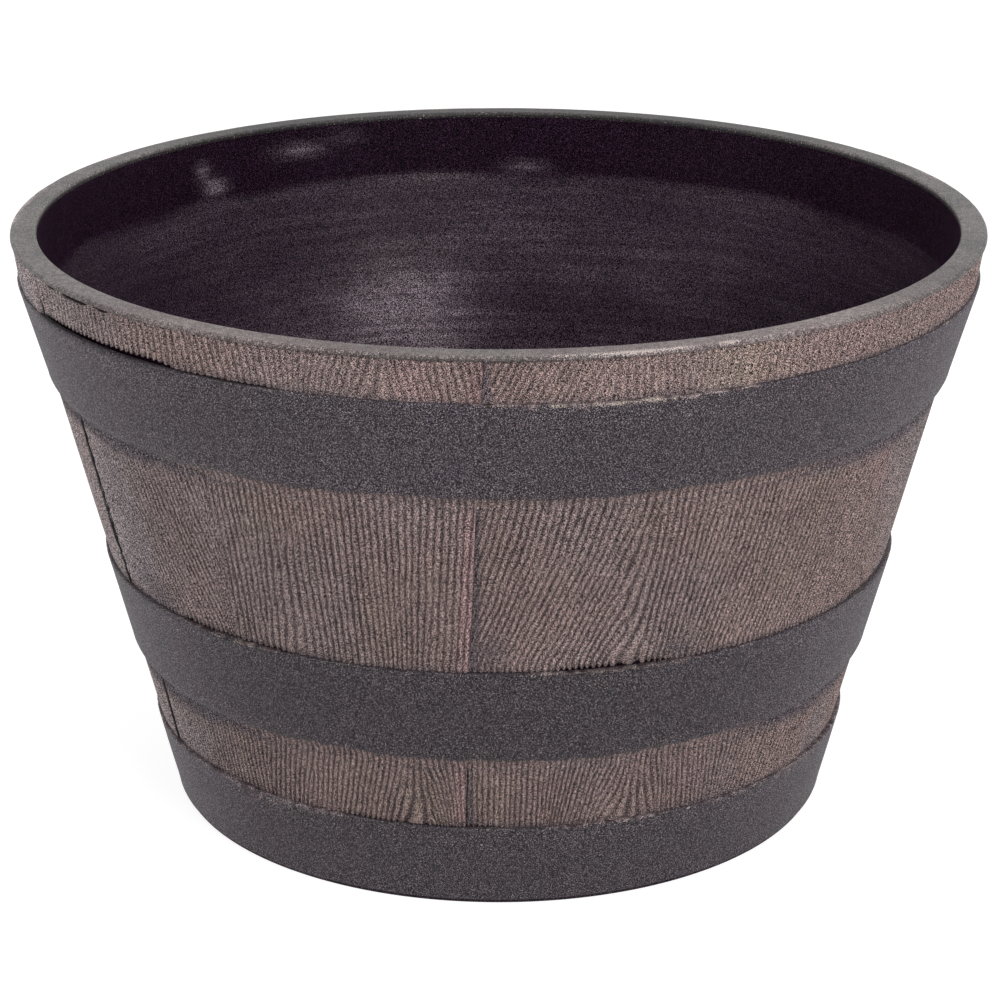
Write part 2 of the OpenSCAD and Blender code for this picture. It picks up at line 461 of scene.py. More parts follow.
def plain_box(size, place, turn=0.0):
    """A box about a place, in millimetres, turned about the upright."""
    deselect()
    bpy.ops.mesh.primitive_cube_add(size=1, rotation=(0, 0, turn), location=[each * MM for each in place])
    obj = bpy.context.object
    obj.scale = [each * MM for each in size]
    bpy.ops.object.transform_apply(location=True, rotation=True, scale=True)
    return obj


def smooth_shading(obj, degrees):
    activate(obj)
    bpy.ops.object.shade_smooth_by_angle(angle=math.radians(degrees))


def finish_piece(obj, body, material, node):
    """Gives a finished mesh its body and its material, and hides the CAD node that it stands for."""
    obj.data.materials.clear()
    obj.data.materials.append(material)
    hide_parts(node)
    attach(obj, body)


def polar(co):
    """Radius, degrees to the right of the front, and height, in millimetres."""
    radius = np.hypot(co[:, 0], co[:, 1]) / MM
    deg = np.degrees(np.arctan2(co[:, 0], -co[:, 1]))
    return radius, deg, co[:, 2] / MM


def from_polar(radius, deg, z):
    turn = np.radians(deg)
    return np.stack([radius * np.sin(turn), -radius * np.cos(turn), z], 1) * MM


# Colours are written as they look on a screen, from 0 to 255
def screen(red, green, blue):
    def linear(value):
        value = value / 255
        return value / 12.92 if value <= 0.04045 else ((value + 0.055) / 1.055) ** 2.4
    return linear(red), linear(green), linear(blue), 1.0


WOOD_RIDGE = screen(148, 128, 124)
WOOD_GROOVE = screen(67, 53, 56)
WOOD_BEIGE = screen(151, 134, 121)
WOOD_PINK = screen(153, 126, 125)
WOOD_GREY = screen(142, 135, 139)
WOOD_WORN = screen(176, 160, 152)
HOOP_GREY = screen(58, 51, 57)
HOOP_VIOLET = screen(60, 47, 61)
HOOP_DARK = screen(30, 25, 32)
HOOP_LIGHT = screen(98, 92, 97)
HOOP_WEAR_AND_HIGHLIGHT = screen(168, 156, 148)
# Near-black painted shade for gaps, crevices and the backs of the staves
PAINTED_SHADE = screen(14, 10, 13)
RIM_TOP = screen(74, 72, 75)
RIM_BROWN = screen(98, 82, 83)
RIM_DARK = screen(70, 62, 62)
RIM_WEAR_AND_HIGHLIGHT = screen(186, 172, 167)
RIM_DUST = screen(134, 127, 125)
INNER_BLACK = screen(14, 5, 12)
INNER_VIOLET = screen(16, 4, 18)
INNER_DEEP = screen(5, 1, 5)
INNER_LIGHT = screen(45, 29, 43)
INNER_DUST_AND_GLARE = screen(110, 98, 106)
RUBBER_BLACK = screen(30, 30, 31)
RUBBER_DEEP = screen(20, 20, 21)
RUBBER_LIGHT = screen(52, 51, 51)


class Tree:
    """Short calls that add nodes to a node tree and wire them."""

    def __init__(self, tree):
        self.tree = tree
        self.nodes = tree.nodes

    def set(self, socket, value):
        if isinstance(value, bpy.types.NodeSocket):
            self.tree.links.new(value, socket)
        else:
            socket.default_value = value

    def add(self, kind, inputs, **settings):
        """Adds a node with its settings and its inputs, each a value or a wire, and gives its outputs."""
        node = self.nodes.new("ShaderNode" + kind)
        for key, value in settings.items():
            setattr(node, key, value)
        for label, value in inputs.items():
            self.set(node.inputs[label], value)
        return node.outputs

    def math(self, operation, a, b):
        return self.add("Math", {0: a, 1: b}, operation=operation)[0]

    def plus(self, a, b):
        return self.math("ADD", a, b)

    def times(self, a, b):
        return self.math("MULTIPLY", a, b)

    def uneven(self, speckle, amount):
        """A speckle as a number on both sides of 0."""
        return self.times(self.math("SUBTRACT", speckle, 0.5), amount)

    def mix(self, factor, a, b):
        return self.add("Mix", {"Factor": factor, 6: a, 7: b}, data_type="RGBA")[2]

    def scaled(self, colour, factor):
        return self.add("VectorMath", {0: colour, "Scale": factor}, operation="SCALE")[0]

    def span(self, value, low, high, to_low=0.0, to_high=1.0):
        inputs = {"Value": value, "From Min": low, "From Max": high, "To Min": to_low, "To Max": to_high}
        return self.add("MapRange", inputs, interpolation_type="SMOOTHSTEP")[0]

    def place(self):
        return self.add("TexCoord", {})["Object"]

    def stretched(self, vector, scale):
        return self.add("Mapping", {"Vector": vector, "Scale": scale})[0]

    def clouds(self, vector, scale, detail, roughness):
        inputs = {"Vector": vector, "Scale": scale, "Detail": detail, "Roughness": roughness}
        return self.add("TexNoise", inputs)["Fac"]

    def mark(self, name):
        """A number that the mesh carries at each vertex."""
        return self.add("Attribute", {}, attribute_name=name)["Fac"]

    def group(self, tree, **inputs):
        return self.add("Group", inputs, node_tree=tree)

    def bump(self, height, strength, distance):
        return self.add("Bump", {"Height": height, "Strength": strength, "Distance": distance})[0]


def new_group(name, inputs, outputs):
    """A shader node group. Its sockets come with their values, and None makes one a colour."""
    group = bpy.data.node_groups.new(name, "ShaderNodeTree")
    for side, sockets in (("INPUT", inputs), ("OUTPUT", outputs)):
        for label, value in sockets.items():
            kind = "NodeSocketColor" if value is None else "NodeSocketFloat"
            socket = group.interface.new_socket(name=label, in_out=side, socket_type=kind)
            if value is not None:
                socket.default_value = value
    entry = group.nodes.new("NodeGroupInput")
    leave = group.nodes.new("NodeGroupOutput")
    return Tree(group), entry.outputs, leave.inputs


def speckle_group():
    """Fine mottling of sprayed resin: two grains round 0.5, cloudy patches and a height."""
    t, _, leave = new_group("resin_speckle", {}, {"Fine": 0.0, "Grit": 0.0, "Patches": 0.0, "Height": 0.0})
    place = t.place()
    fine = t.clouds(place, 1300, 2.0, 0.7)
    grit = t.clouds(place, 2000, 1.0, 0.5)
    t.set(leave["Fine"], t.plus(t.times(fine, 0.6), t.times(grit, 0.4)))
    t.set(leave["Grit"], t.plus(t.times(fine, 0.2), t.times(grit, 0.8)))
    t.set(leave["Patches"], t.clouds(place, 26, 4.0, 0.6))
    t.set(leave["Height"], t.plus(fine, t.times(grit, 0.5)))
    return t.tree


def powder_group():
    """Fine light and dark grains in a colour, as on a powdery sprayed finish."""
    t, entry, leave = new_group("powdery_grains", {"Color": None, "Amount": 5.0}, {"Color": None})
    uneven = t.uneven(t.group(SPECKLE)["Grit"], entry["Amount"])
    t.set(leave["Color"], t.scaled(entry["Color"], t.math("MAXIMUM", t.plus(uneven, 1.0), 0.0)))
    return t.tree


def powdered(t, colour, amount):
    return t.group(POWDER, Color=colour, Amount=amount)["Color"]


def tint_group():
    """A base colour with cloudy patches of a second one, and fine speckles of a dark and a light one."""
    inputs = {"Base": None, "Patch": None, "Dark": None, "Light": None, "Speckle": 0.5, "Powder": 3.0}
    t, entry, leave = new_group("speckled_colour", inputs, {"Color": None})
    speckle = t.group(SPECKLE)
    cloudy = t.mix(t.span(speckle["Patches"], 0.38, 0.6), entry["Base"], entry["Patch"])
    pale = t.span(speckle["Grit"], 0.49, 0.62)
    deep = t.span(speckle["Grit"], 0.51, 0.38)
    lit = t.mix(t.times(pale, entry["Speckle"]), cloudy, entry["Light"])
    dark = t.mix(t.times(deep, entry["Speckle"]), lit, entry["Dark"])
    t.set(leave["Color"], powdered(t, dark, entry["Powder"]))
    return t.tree


def wood_group():
    """Dry-brushed wood grain: dark in the grooves, pale on the ridges, in beige, pinkish and grey patches."""
    t, entry, leave = new_group(
        "brushed_grain", {"Grain": 0.5, "Tone": 0.0, "Warmth": 0.0, "Greyness": 0.2}, {"Color": None})
    uneven = t.uneven(t.group(SPECKLE)["Grit"], 0.8)
    brushed = t.span(t.plus(entry["Grain"], uneven), 0.08, 0.92)
    ridge = t.mix(t.span(entry["Warmth"], 0.0, 0.8), WOOD_RIDGE, WOOD_BEIGE)
    ridge = t.mix(t.span(entry["Warmth"], 0.0, -0.8), ridge, WOOD_PINK)
    ridge = t.mix(t.times(entry["Greyness"], 0.75), ridge, WOOD_GREY)
    toned = t.scaled(t.mix(brushed, WOOD_GROOVE, ridge), t.plus(1.0, entry["Tone"]))
    t.set(leave["Color"], powdered(t, toned, 14.5))
    return t.tree


SPECKLE = speckle_group()
POWDER = powder_group()
TINT = tint_group()
WOOD = wood_group()


def ragged(t, mask, speckle):
    """A mask with its soft border broken up by the speckle."""
    return t.span(t.plus(mask, t.uneven(speckle["Fine"], 3.0)), 0.2, 0.8)


def sprayed_grey(t):
    """The hoops' grey, which is also on the ends of the staves."""
    return t.group(TINT, Base=HOOP_GREY, Patch=HOOP_VIOLET, Dark=HOOP_DARK, Light=HOOP_LIGHT,
                   Speckle=0.9, Powder=18.0)["Color"]


def stave_colour(t, speckle):
    wood = t.group(WOOD, Grain=t.mark("grain"), Tone=t.mark("tone"), Warmth=t.mark("warmth"),
                   Greyness=t.mark("grey"))["Color"]
    wood = t.mix(t.times(ragged(t, t.mark("edge"), speckle), 0.65), wood, WOOD_WORN)
    wood = t.mix(t.times(ragged(t, t.mark("paint"), speckle), 0.8), wood, sprayed_grey(t))
    # Painted shade darkens the crevices, the gaps over the hoops and the backs of the staves
    return t.mix(t.mark("grime"), wood, PAINTED_SHADE)


def hoop_colour(t, speckle):
    grey = t.scaled(sprayed_grey(t), t.plus(1.0, t.mark("tone")))
    # Pale worn chips along the upper edge, with a painted highlight on the ledge of the upper hoop
    grey = t.mix(ragged(t, t.mark("edge"), speckle), grey, powdered(t, HOOP_WEAR_AND_HIGHLIGHT, 9.0))
    wood = t.group(WOOD, Grain=t.mark("grain"), Greyness=t.mark("grey"))["Color"]
    colour = t.mix(ragged(t, t.mark("bare"), speckle), grey, wood)
    # Painted shade under the open gaps over the hoop
    return t.mix(t.mark("grime"), colour, PAINTED_SHADE)


def rim_colour(t, speckle):
    base = t.mix(t.mark("brown"), RIM_TOP, RIM_BROWN)
    colour = t.group(TINT, Base=base, Patch=t.mix(0.5, base, RIM_DUST), Dark=RIM_DARK, Light=RIM_DUST,
                     Speckle=0.7, Powder=4.0)["Color"]
    grains = t.span(t.clouds(t.place(), 480, 2.0, 0.7), 0.3, 0.7, 0.55, 1.45)
    # The tone mark carries painted shade and light round the rim
    colour = t.scaled(colour, t.times(grains, t.mark("tone")))
    colour = t.mix(t.mark("inside"), colour, INNER_BLACK)
    # Worn patches behind and a painted highlight in front, along the crest
    return t.mix(ragged(t, t.mark("edge"), speckle), colour, powdered(t, RIM_WEAR_AND_HIGHLIGHT, 5.0))


def inner_colour(t, speckle):
    turned = t.span(t.clouds(t.stretched(t.place(), (0.5, 0.5, 14.0)), 22, 3.0, 0.6), 0.42, 0.62, 0.72, 1.22)
    black = t.group(TINT, Base=INNER_BLACK, Patch=INNER_VIOLET, Dark=INNER_DEEP, Light=INNER_LIGHT,
                    Speckle=0.6, Powder=26.0)["Color"]
    # Dust, and a painted glare on the far wall
    return t.mix(t.times(t.mark("dust"), turned), black, powdered(t, INNER_DUST_AND_GLARE, 21.0))


def rubber_colour(t, speckle):
    return t.group(TINT, Base=RUBBER_BLACK, Patch=RUBBER_DEEP, Dark=RUBBER_DEEP, Light=RUBBER_LIGHT,
                   Speckle=0.5, Powder=2.0)["Color"]


def new_material(name, colour_of, roughness, gloss, bump, depth=0.0003):
    """A resin or rubber with the fine bumps of its speckle. Two roughnesses make it patchy."""
    material = bpy.data.materials.new(name)
    material.use_nodes = True
    t = Tree(material.node_tree)
    shader = t.nodes["Principled BSDF"].inputs
    speckle = t.group(SPECKLE)
    if isinstance(roughness, tuple):
        roughness = t.span(speckle["Patches"], 0.3, 0.7, *roughness)
    t.set(shader["Roughness"], roughness)
    t.set(shader["Specular IOR Level"], gloss)
    t.set(shader["Base Color"], colour_of(t, speckle))
    t.set(shader["Normal"], t.bump(speckle["Height"], bump, depth))
    return material


STAVE_RESIN = new_material("stave_resin", stave_colour, roughness=0.62, gloss=0.25, bump=0.35)
HOOP_RESIN = new_material("hoop_resin", hoop_colour, roughness=0.6, gloss=0.25, bump=0.4)
RIM_RESIN = new_material("rim_resin", rim_colour, roughness=0.5, gloss=0.3, bump=0.3, depth=0.0002)
INNER_RESIN = new_material("inner_resin", inner_colour, roughness=(0.34, 0.46), gloss=0.06, bump=0.25)
PLUG_RUBBER = new_material("plug_rubber", rubber_colour, roughness=0.7, gloss=0.5, bump=0.3, depth=0.0002)


def stave_blank():
    """Closed flat planks, one per band: across is x, up is y plus twice the band, depth is -z."""
    planks, near = [], 1e-5
    columns = round(max(STAVE_WIDTHS) * MM_PER_DEG / RELIEF_STEP)
    for index, band in enumerate(BANDS):
        low, high = 2 * index, 2 * index + 1
        deselect()
        bpy.ops.mesh.primitive_grid_add(
            x_subdivisions=columns, y_subdivisions=band.rows, size=1, location=(0.5, low + 0.5, 0))
        plank = bpy.context.object
        bpy.ops.object.transform_apply(location=True)
        for end in (low, high):
            select_edges(plank, lambda co: (np.abs(co[:, 1] - end) < near) & (co[:, 2] > -0.5))
            bpy.ops.mesh.extrude_region_move(TRANSFORM_OT_translate={"value": (0, 0, -1)})
        select_edges(plank, lambda co: co[:, 2] < -0.5)
        bpy.ops.mesh.bridge_edge_loops()
        for side in (0, 1):
            select_edges(plank, lambda co: np.abs(co[:, 0] - side) < near)
            bpy.ops.mesh.edge_face_add()
        turn_outwards(plank)
        planks.append(plank)
    activate(*planks)
    bpy.ops.object.join()
    return planks[0]


def side_share(deg):
    """0 in front and 1 at the sides, where the hoops fade more softly into the wood."""
    return smooth((np.abs(deg) - 26) / 26)


def far_left(deg, start, fade):
    """0 to the right of start, and 1 beyond the fade at the left."""
    return smooth((start - deg) / fade) * (deg > -110)


def top_notch(deg):
    """A broken gap between the rim and the staves at the left, in millimetres."""
    inside = smooth((deg + 63) / 3) * smooth((-42 - deg) / 8)
    return 2.8 * inside * np.clip(ring_noise(deg, 150, 97) + 0.45, 0, 1)


def paint_reach(deg, seed):
    """How far the hoop colour was sprayed over the staves' lower ends, in millimetres."""
    return 3 + 4 * smooth(0.5 + ring_noise(deg, 22, seed)) + 1.5 * ring_noise(deg, 160, seed + 1)


def greyness(deg, z):
    """How grey the wood colour is: most at the far left, and in patches."""
    front = smooth((55 - np.abs(deg)) / 25)
    patches = smooth(2.2 * noise(deg, z, 30, 60, 36) - 0.4) * (1 - 0.65 * front)
    return np.clip(0.7 * far_left(deg, -38, 20) + 0.7 * patches, 0, 1)


def stave_surface(stave, index, across, up):
    """Direction, height and radius of points on one band of a stave, and the stave's width there."""
    band = BANDS[index]
    z = band.low + (band.high - band.low) * up
    per_mm = math.degrees(1 / cone_r((band.low + band.high) / 2))
    left = joint_deg(stave, z) + joint_gap(stave) * per_mm / 2
    right = joint_deg(stave + 1, z) - joint_gap(stave + 1) * per_mm / 2
    deg = left + (right - left) * across
    # The lower ends run down in teeth over an open gap
    least, more = (0.8, 1.6) if index else (1.3, 0.6)
    teeth = least + more * (1 - grain(deg, band.low + 1 + 0 * z, stave))
    z = z + (1 - up) * gap_share(signed_deg(deg), index) * teeth
    if index == 0:
        z = z - up * top_notch(signed_deg(deg))
    width = np.radians(right - left) * cone_r(z)
    radius = stave_face_r(deg, z, stave, band)
    for joint, away in ((stave, across * width), (stave + 1, (1 - across) * width)):
        near = np.clip(1 - away / joint_round(joint), 0, 0.999)
        radius = radius - joint_round(joint) * (1 - np.sqrt(1 - near ** 2))
    return deg, z, radius, width


# Faint blots of hoop colour on the staves: degrees, level, width and height
BLOTS = ((-55, 152, 6, 9), (-1, 155, 3, 12), (24, 150, 3.5, 7))


def stave_paint(stave, index, up, deg, z, from_left):
    """Hoop colour on a stave: sprayed over its ends, along one edge in front and in a few blots."""
    band, signed = BANDS[index], signed_deg(deg)
    paint = 0.45 * smooth(1 - (z - band.low) / paint_reach(deg, 53 + index))
    if index:
        sides = side_share(signed)
        reach = 4 + 6 * sides + 2.5 * ring_noise(deg, 40, 57 + index)
        paint = np.maximum(paint, (0.35 + 0.4 * sides) * smooth(1 - (band.high - z) / reach))
    if stave == FRONT_RIGHT:
        paint = np.maximum(paint, 0.8 * smooth(1.15 - from_left / (3 + 4 * (1 - up))))
    for blot in BLOTS:
        paint = np.maximum(paint, 0.5 * spot(deg, z, *blot))
    return paint


def stave_tone(stave, index, deg, z, from_right, unseen_tone):
    """How light and how warm the wood is: a share added to its colour, and -1 pinkish to 1 beige."""
    signed = signed_deg(deg)
    tone = {9: 0.05, 10: 0.02, 11: -0.04, 0: -0.05, 1: 0.03}.get(stave, unseen_tone)
    tone = tone + 0.1 * noise(deg, z, 40, 70, 33) + 0.4 * far_left(signed, -50, 16)
    warmth = 0.25 * noise(deg, z, 26, 80, 34) + 0.22 * noise(deg, z, 110, 22, 35)
    if index == 0:
        tone = tone + 0.03 + 0.24 * bell(signed, 20, 14) - 0.12 * bell(signed, 0, 5)
        warmth = warmth + 0.5 * bell(signed, 27, 9) - 0.4 * bell(signed, -8, 5)
    # The left stave's right edge at the front joint is pinker, and lighter below the top band: wear and a
    # painted highlight
    if stave == FRONT_LEFT:
        worn_and_lit = smooth(1.2 - from_right / 8)
        tone = tone + (0.28 if index else -0.06) * worn_and_lit
        warmth = warmth - 0.8 * worn_and_lit
    return tone, np.clip(warmth, -1, 1)


def stave_wear(stave, behind, deg, z, from_edge, from_open):
    """Pale wear along the edges of a stave that stands proud, but not along the open joint."""
    proud = np.where(behind, 0, 1.0 if stave % 2 else 0.3)
    wear = smooth(1 - from_edge / (1.5 + 1.1 * noise(deg, z, 90, 20, 31))) * smooth(from_open - 2)
    kept = 0.35 if stave == FRONT_LEFT else 1
    return kept * proud * wear * (0.55 + 0.45 * noise(deg, z, 60, 35, 32))


def stave_marks(stave, index, across, up, behind, deg, z, width, unseen_tone):
    """What the material reads on one band of a stave."""
    signed = signed_deg(deg)
    from_left, from_right = across * width, (1 - across) * width
    from_open = {OPEN_JOINT - 1: from_right, OPEN_JOINT: from_left}.get(stave, 99 + 0 * z)
    level, swing = 0.52, 0.44
    if index == 0:
        level, swing = 0.56, 0.3 - 0.14 * smooth((signed - 2) / 14) * (signed < 60)
    # Painted shade: a dark band at the lower ends over an open gap, and near-black on the backs and along the
    # open joint
    crevice = 0.5 * np.clip(gap_share(signed, index), 0, 1.2) * smooth(1.1 - (z - BANDS[index].low) / 5)
    tone, warmth = stave_tone(stave, index, deg, z, from_right, unseen_tone)
    return {
        "grain": np.clip(level + swing * grain_wave(deg, z, stave), 0, 1),
        "edge": stave_wear(stave, behind, deg, z, np.minimum(from_left, from_right), from_open),
        "paint": stave_paint(stave, index, up, deg, z, from_left),
        "grime": np.maximum(crevice, np.where(behind, 1, smooth(1 - from_open / 0.6))),
        "tone": tone,
        "warmth": warmth,
        "grey": greyness(signed, z),
    }


def make_stave(blank, stave):
    obj = copy_of(blank, f"stave_{stave + 1:02d}")
    co = read_vertices(obj.data)
    band_of = np.floor(co[:, 1] / 2 + 1e-6).astype(int)
    placed, marks = np.empty_like(co), {}
    rng = np.random.default_rng(70 + stave)
    for index in range(len(BANDS)):
        mine = band_of == index
        across, up, behind = co[mine, 0], co[mine, 1] - 2 * index, co[mine, 2] < -0.5
        deg, z, radius, width = stave_surface(stave, index, across, up)
        back = cone_r(z) - CORE_DEPTH - 0.6
        placed[mine] = from_polar(np.where(behind, back, radius), deg, z)
        unseen_tone = rng.uniform(-0.07, 0.07)
        found = stave_marks(stave, index, across, up, behind, deg, z, width, unseen_tone)
        for key, values in found.items():
            marks.setdefault(key, np.zeros(len(co)))[mine] = values
    write_vertices(obj.data, placed)
    add_marks(obj.data, **marks)
    turn_outwards(obj)
    smooth_shading(obj, 50)
    finish_piece(obj, "tub", STAVE_RESIN, "tub")


def make_staves():
    blank = stave_blank()
    for stave in range(STAVES):
        make_stave(blank, stave)
    bpy.data.objects.remove(blank)


def tub_shell():
    """Inner wall, floor, foot and the core behind the staves, as one spun solid."""
    rng = np.random.default_rng(5)
    fillet_z = FLOOR_TOP + FILLET
    fillet_r = inner_r(fillet_z) - FILLET * math.hypot(1, CONE_SLOPE)
    collar_r, top_z = inner_r(COLLAR_Z), LIP_Z - 0.5
    points = [(0, FLOOR_TOP), (50, FLOOR_TOP), (140, FLOOR_TOP)]
    points += arc(fillet_r, fillet_z, FILLET, -90, -TAPER, 8)
    levels = np.arange(fillet_z + 4, COLLAR_Z - 1.5, 2.5)
    points += [(inner_r(z) + rng.uniform(-WALL_WAVE, WALL_WAVE), z) for z in levels]
    points += [(collar_r, COLLAR_Z), (collar_r + 0.15, COLLAR_Z + 1.2)]
    # The collar leads up to the inner edge of the rim
    for k in (0.1, 0.2, 0.3, 0.4, 0.5, 0.6, 0.7, 0.85, 1.0):
        points.append((collar_r + (RIM_R - RIM_W - collar_r) * k, COLLAR_Z + (top_z - COLLAR_Z) * k))
    points += [(cone_r(z) - CORE_DEPTH, z) for z in (top_z, UPPER[1], MIDDLE[1], BASE[1])]
    points += [(cone_r(BASE[0]) - 1.2, BASE[0]), (FOOT_OUT_R - 0.3, BASE[0])]
    points += arc(FOOT_OUT_R - 0.8, 0.8, 0.8, 0, -90, 4)
    points += arc(FOOT_IN_R + 0.8, 0.8, 0.8, -90, -180, 4)
    points += arc(FOOT_IN_R - 2, FLOOR_Z - 2, 2, 0, 90, 4)
    points += [(120, FLOOR_Z), (50, FLOOR_Z), (0, FLOOR_Z)]
    return spin_profile("tub_shell", points, SHELL_STEPS)


def drain_places():
    """Middles of the four drain holes, from the CAD plugs."""
    places = []
    for number in range(1, 5):
        low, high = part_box(f"drain_plug_{number}")
        places.append(((low.x + high.x) / 2 / MM, (low.y + high.y) / 2 / MM))
    return places


def underside_web():
    """Ribs, their ring and the bosses round the drain holes."""
    low, high = FLOOR_Z - RIB_DROP, FLOOR_Z + 0.5
    web = plain_cylinder(RING_R + RIB_T / 2, low, high, (0, 0), 96)
    combine(web, plain_cylinder(RING_R - RIB_T / 2, low - 1, high + 0.5, (0, 0), 96), "DIFFERENCE")
    for place in drain_places():
        combine(web, plain_cylinder(BOSS_R, low, high, place), "UNION")
    length = FOOT_IN_R + 0.5 - RING_R
    middle = RING_R + length / 2
    for index in range(RIBS):
        turn = math.radians(360 / RIBS * (index + 0.5))
        place = (middle * math.cos(turn), middle * math.sin(turn), (low + high) / 2)
        combine(web, plain_box((length, RIB_T, high - low), place, turn), "UNION")
    return web


def drain_cutter():
    """Four stepped pins that cut the drain holes and the seats of their flanges."""
    seat_r = FLANGE_R + 0.5
    points = [(0, 0), (DRAIN_R, 0), (DRAIN_R, FLANGE_LOW), (seat_r - 0.4, FLANGE_LOW)]
    points += [(seat_r, FLANGE_LOW + 0.4), (seat_r, FLANGE_LOW + 1.5)]
    points += [(seat_r + 0.7, FLANGE_TOP), (0, FLANGE_TOP)]
    pins = []
    for x, y in drain_places():
        pin = spin_profile("pin", points, 64)
        write_vertices(pin.data, read_vertices(pin.data) + (x * MM, y * MM, 0))
        pins.append(pin)
    activate(*pins)
    bpy.ops.object.join()
    return pins[0]


# Spots on the inside: the first, at the back left, is a painted glare, and the others are smudges of dust;
# degrees, level, width, height and strength
DUST_AND_GLARE_SPOTS = (
    (-166, 200, 9, 30, 1.0), (-148, 190, 10, 24, 0.15), (-136.5, 290, 1.8, 4, 1.1),
    (-134.5, 300, 1.0, 5, 0.8), (-150.5, 304, 3.5, 4, 0.6), (-158, 309, 2.5, 3, 0.3),
    (-184, 287, 3, 3, 0.5), (-168, 280, 14, 3, 0.12), (-60, 210, 12, 30, 0.25), (40, 180, 9, 40, 0.3),
)


def inner_dust(radius, deg, z):
    """Dust on the inside and a painted glare: a film below the collar, a haze at the back and on the floor,
    smudges, and the glare at the back left.
    """
    film = 0.21 + 0.07 * noise(deg, z, 18, 40, 71) + 0.04 * noise(deg, z, 60, 14, 72)
    behind = bell(np.abs(deg), 180, 50)
    dust = film * (0.4 + 0.6 * behind) * smooth((COLLAR_Z + 2 - z + 3 * ring_noise(deg, 40, 75)) / 8)
    for *where, strength in DUST_AND_GLARE_SPOTS:
        dust = dust + strength * spot(deg, z, *where) * (1 + 0.4 * noise(deg, z, 180, 8, 73))
    on_floor = 0.22 + 0.1 * noise(deg, radius, 12, 30, 74)
    return np.clip(np.where(z < FLOOR_TOP + 3, on_floor, dust), 0, 1)


def make_tub():
    shell = tub_shell()
    combine(shell, underside_web(), "UNION")
    combine(shell, drain_cutter(), "DIFFERENCE")
    merge_doubles(shell)
    add_marks(shell.data, dust=inner_dust(*polar(read_vertices(shell.data))))
    smooth_shading(shell, 35)
    finish_piece(shell, "tub", INNER_RESIN, "tub")


def make_rim():
    """The rolled rim, a closed ring with a pale streak along its outer edge: a painted highlight in front and
    worn patches behind.
    """
    inner, outer = RIM_R - RIM_W, RIM_R
    points = [(inner, LIP_Z - 0.5)]
    points += arc(inner + RIM_ROUND, HEIGHT - RIM_ROUND, RIM_ROUND, 180, 90, 8)
    points += [(inner + 5, HEIGHT), (outer - 5, HEIGHT)]
    points += arc(outer - RIM_ROUND, HEIGHT - RIM_ROUND, RIM_ROUND, 90, 0, 8)
    points += arc(outer - 0.3, LIP_Z + 0.3, 0.3, 0, -90, 2)
    points += [(outer - 4, LIP_Z - 0.1), (outer - 6, LIP_Z - 0.5)]
    obj = spin_profile("rim_lip", points, RIM_STEPS, closed=True)
    radius, deg, z = polar(read_vertices(obj.data))
    outside = smooth((radius - outer + 2.6) / 1.5) * smooth((z - LIP_Z) / 0.8)
    nick = np.clip(noise(deg, z, 240, 4, 61) + 0.5 * noise(deg, z, 80, 4, 62) - 0.55, 0, 1)
    radius = radius - outside * (0.5 * nick + 0.06 * (1 + noise(deg, z, 500, 3, 63)))
    write_vertices(obj.data, from_polar(radius, deg, z))
    # The pale streak runs along the crest of the outer edge: a painted highlight in three patches in front,
    # and a few worn patches behind
    highlight_streak = 0.6 * bell(deg, 9, 4.5, 4) + bell(deg, 16, 4.4, 4) + 1.1 * bell(deg, 24.5, 1.3, 4)
    behind = smooth(2.2 * ring_noise(deg, 36, 64) - 0.8) * (np.abs(deg) > 60)
    crest = bell(radius, outer - 1.3, 1.0) * smooth((z - LIP_Z) / 0.8)
    broken = 0.9 + 0.4 * noise(deg, z, 300, 5, 65)
    # Painted shade and light: darker behind, about the front, at the sides and under the crest, and lighter
    # to the right of the front and along the crest
    tone = 1 - 0.7 * smooth((np.abs(deg) - 115) / 35) + 0.06 * noise(deg, z, 26, 9, 66)
    tone = tone - 0.31 * bell(deg, -3, 14) + 0.18 * bell(deg, 34, 14)
    tone = tone * (1 - 0.15 * smooth((np.abs(deg) - 35) / 20))
    tone = tone * (1 + 0.25 * crest * smooth((50 - np.abs(deg)) / 20))
    below = smooth((HEIGHT - 0.9 - z) / 0.8) * (radius > outer - 3)
    add_marks(obj.data,
              edge=np.clip(crest * np.maximum(highlight_streak, 0.8 * behind) * broken, 0, 1),
              inside=smooth((inner + 0.7 - radius) / 1.0),
              brown=smooth((75 - np.abs(deg)) / 40),
              tone=tone * (1 - 0.4 * below * bell(deg, -4, 18)))
    smooth_shading(obj, 60)
    finish_piece(obj, "tub", RIM_RESIN, "tub")


def hoop_r(z, levels, proud):
    """Radius of a hoop's face, which stands proud of the cone by two amounts at its lower and upper edge."""
    low, high = levels
    return cone_r(z) + proud[0] + (proud[1] - proud[0]) * (z - low) / (high - low)


def hoop_points(levels, proud, chamfer):
    """Outline of a hoop: (radius, z) from the lower inner edge round the outside."""
    low, high = levels

    def outer(z):
        return hoop_r(z, levels, proud)

    points = [(outer(low) - HOOP_THICK, low)]
    if chamfer:
        edge, rows = cone_r(low) + 0.5, 8
        for k in range(rows + 1):
            points.append((edge + (outer(low + chamfer) - edge) * k / rows, low + chamfer * k / rows))
    else:
        points += arc(outer(low + 2) - 2, low + 2, 2, -90, 0, 6)
    start, end = points[-1][1], high - 4.2
    rows = max(2, round((end - start) / 6))
    for k in range(1, rows + 1):
        level = start + (end - start) * k / rows
        points.append((outer(level), level))
    # Rows close together under the upper edge carry its chips
    points += [(outer(high - down), high - down) for down in (3.4, 2.6, 1.9, 1.3)]
    points += arc(outer(high - HOOP_ROUND) - HOOP_ROUND, high - HOOP_ROUND, HOOP_ROUND, 0, 90, 4)
    points += [(outer(high) - 1.6, high), (outer(high) - HOOP_THICK, high)]
    return points


